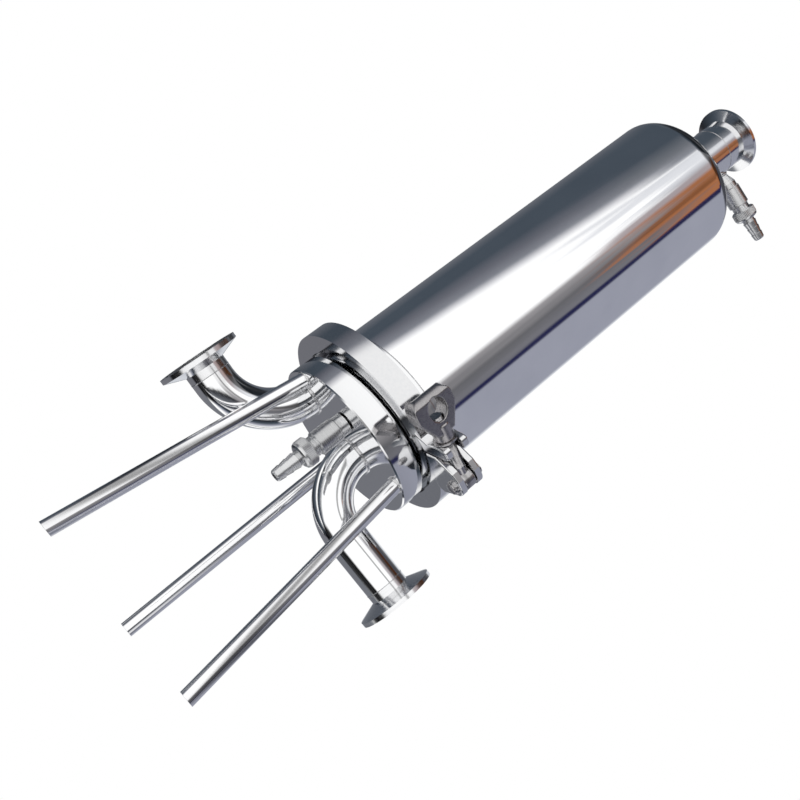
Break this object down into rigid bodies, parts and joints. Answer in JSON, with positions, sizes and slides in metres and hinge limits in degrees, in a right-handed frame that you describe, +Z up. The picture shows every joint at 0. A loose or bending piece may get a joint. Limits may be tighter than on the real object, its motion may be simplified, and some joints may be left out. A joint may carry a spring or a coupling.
{
  "type": "sanitary cartridge filter housing",
  "caption": "Upright stainless cartridge filter: domed bell clamped to a base on splayed rod legs, with elbow inlet and outlet ports, a top port, drain and vent valves.",
  "frame": {"origin": "on the vessel's axis, in the plane that the three feet stand on", "axes": "+Z up along the vessel's axis, +X towards the outlet port, -Y towards the drain valve and the clamp's nut"},
  "size_m": [0.1919, 0.1621, 0.554],
  "materials": {
    "polished_steel": "mirror polished stainless steel",
    "turned_steel": "fine turned and polished stainless steel",
    "cast_steel": "cast and tumbled stainless steel",
    "silicone": "white silicone",
    "black_rubber": "smooth",
    "white_plastic": "moulded polypropylene",
    "filter_media": "pleated membrane"
  },
  "bodies": {
    "vessel": {"base_plate": "turned_steel", "inlet_elbow": "polished_steel", "inlet_ferrule": "polished_steel", "outlet_elbow": "polished_steel", "outlet_ferrule": "polished_steel", "leg_left": "polished_steel", "leg_right": "polished_steel", "leg_back": "polished_steel", "drain_body": "turned_steel", "gasket": "silicone", "bell_flange": "turned_steel", "bell_shell": "polished_steel", "top_neck": "polished_steel", "top_ferrule": "polished_steel", "vent_body": "turned_steel", "clamp_half_pivot": "cast_steel", "hinge_pin": "cast_steel", "pivot_pin": "cast_steel", "cartridge_bottom_cap": "white_plastic", "cartridge_oring_high": "black_rubber", "cartridge_oring_low": "black_rubber", "cartridge_core": "white_plastic", "cartridge_media": "filter_media", "cartridge_cage": "white_plastic", "cartridge_top_cap": "white_plastic"},
    "clamp_arm": {"clamp_half_fork": "cast_steel"},
    "bolt": {"swing_bolt": "cast_steel"},
    "washer": {"nut_washer": "cast_steel"},
    "nut": {"wing_nut": "cast_steel"},
    "drain_ring": {"drain_seal": "black_rubber"},
    "drain_plug": {"drain_stem": "turned_steel"},
    "vent_ring": {"vent_seal": "black_rubber"},
    "vent_plug": {"vent_stem": "turned_steel"}
  },
  "joints": [
    {"name": "clamp_opening", "type": "hinge", "parent": "vessel", "child": "clamp_arm", "pos_m": [-0.03868, 0.06191, 0.18939], "axis": [0, 0, -1], "range_deg": [0, 3.45]},
    {"name": "bolt_swing", "type": "hinge", "parent": "vessel", "child": "bolt", "pos_m": [0.05919, -0.05547, 0.18939], "axis": [0, 0, 1], "range_deg": [0, 110]},
    {"name": "nut_travel", "type": "slide", "parent": "bolt", "child": "washer", "axis": [-0.848, -0.5299, 0], "range_m": [0, 0.01]},
    {"name": "nut_turn", "type": "hinge", "parent": "washer", "child": "nut", "pos_m": [0.03298, -0.07184, 0.18939], "axis": [-0.848, -0.5299, 0], "range_deg": [0, 2880]},
    {"name": "drain_lift", "type": "slide", "parent": "vessel", "child": "drain_ring", "axis": [0, 0, -1], "range_m": [0, 0.003]},
    {"name": "drain_turn", "type": "hinge", "parent": "drain_ring", "child": "drain_plug", "pos_m": [-0.009, -0.028, 0.13], "axis": [0, 0, -1], "range_deg": [0, 1080]},
    {"name": "vent_lift", "type": "slide", "parent": "vessel", "child": "vent_ring", "axis": [0.9914, 0.1305, 0], "range_m": [0, 0.003]},
    {"name": "vent_turn", "type": "hinge", "parent": "vent_ring", "child": "vent_plug", "pos_m": [0.05453, 0.00718, 0.529], "axis": [0.9914, 0.1305, 0], "range_deg": [0, 1080]}
  ],
  "couplings": [
    {"joint": "nut_turn", "follows": "nut_travel", "rad_per_m": 5026.5},
    {"joint": "clamp_opening", "follows": "nut_travel", "rad_per_m": 6},
    {"joint": "drain_turn", "follows": "drain_lift", "rad_per_m": 6283.2},
    {"joint": "vent_turn", "follows": "vent_lift", "rad_per_m": 6283.2}
  ]
}
